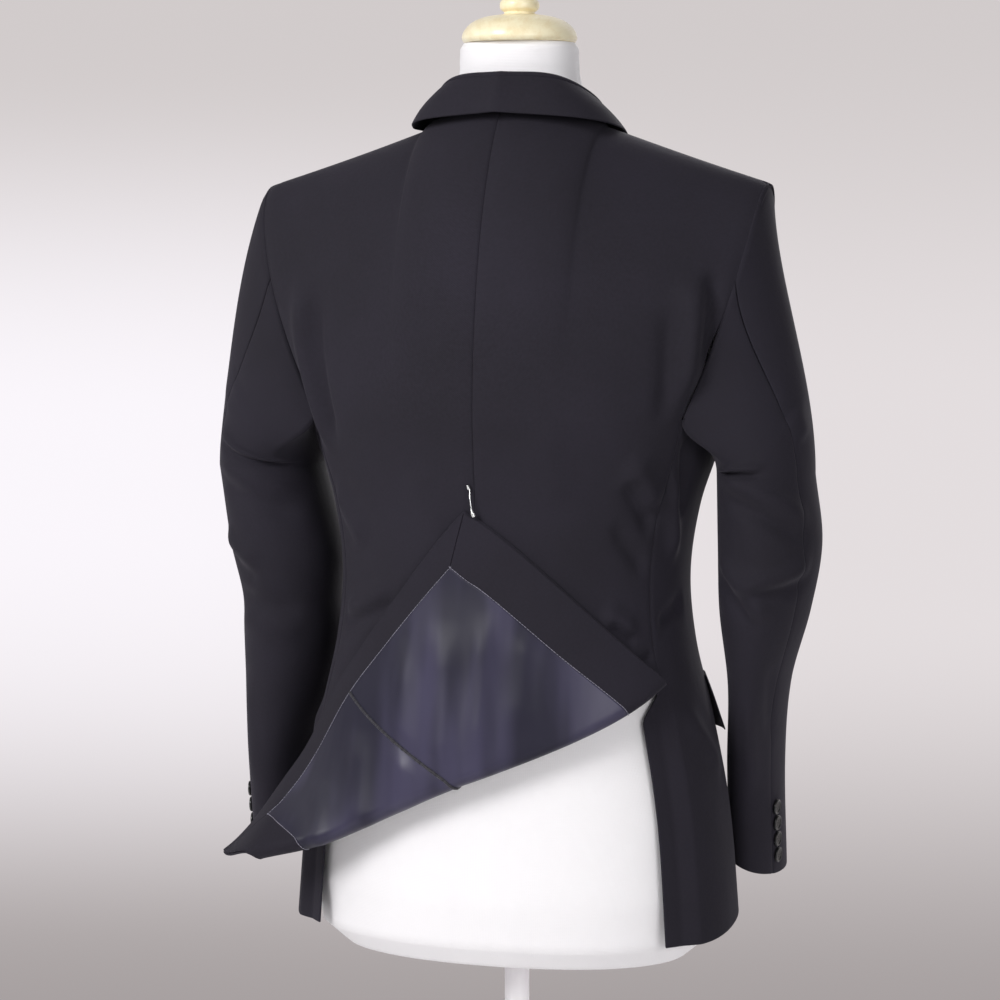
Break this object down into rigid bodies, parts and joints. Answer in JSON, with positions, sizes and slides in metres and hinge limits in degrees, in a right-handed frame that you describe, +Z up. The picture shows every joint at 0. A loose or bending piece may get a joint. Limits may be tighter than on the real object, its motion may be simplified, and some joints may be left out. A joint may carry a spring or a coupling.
{
  "type": "suit jacket on dress form",
  "caption": "Slim near-black wool suit jacket with double side vents on a white jersey dress form; its back skirt is folded up and pinned to show the lining.",
  "frame": {"origin": "centre of the bounding box in plan, at the underside of the round base", "axes": "+Z up along the pole; +Y towards the back of the jacket, where the skirt is folded; +X towards the wearer's left"},
  "size_m": [0.5553, 0.38, 1.6121],
  "materials": {
    "black_wool": "fine worsted wool, matte",
    "navy_satin": "satin lining, soft sheen",
    "black_horn": "satin",
    "pin_steel": "bright",
    "white_jersey": "fine knitted jersey",
    "pale_wood": "lacquered",
    "white_enamel": "satin enamel"
  },
  "bodies": {
    "root": {"back_left": "black_wool", "back_right": "black_wool", "base": "white_enamel", "collar": "black_wool", "cuff_button_left_1": "black_horn", "cuff_button_left_2": "black_horn", "cuff_button_left_3": "black_horn", "cuff_button_left_4": "black_horn", "cuff_button_right_1": "black_horn", "cuff_button_right_2": "black_horn", "cuff_button_right_3": "black_horn", "cuff_button_right_4": "black_horn", "finial": "pale_wood", "form_torso": "white_jersey", "front_button_1": "black_horn", "front_button_2": "black_horn", "front_left": "black_wool", "front_right": "black_wool", "hem_facing": "black_wool", "lapel_left": "black_wool", "lapel_right": "black_wool", "lining_left": "navy_satin", "lining_right": "navy_satin", "neck_cap": "pale_wood", "pin": "pin_steel", "pocket_flap_left": "black_wool", "pocket_flap_right": "black_wool", "pole": "white_enamel", "side_left": "black_wool", "side_right": "black_wool", "sleeve_top_left": "black_wool", "sleeve_top_right": "black_wool", "sleeve_under_left": "black_wool", "sleeve_under_right": "black_wool", "vent_facing_left": "black_wool", "vent_facing_right": "black_wool"}
  },
  "joints": []
}
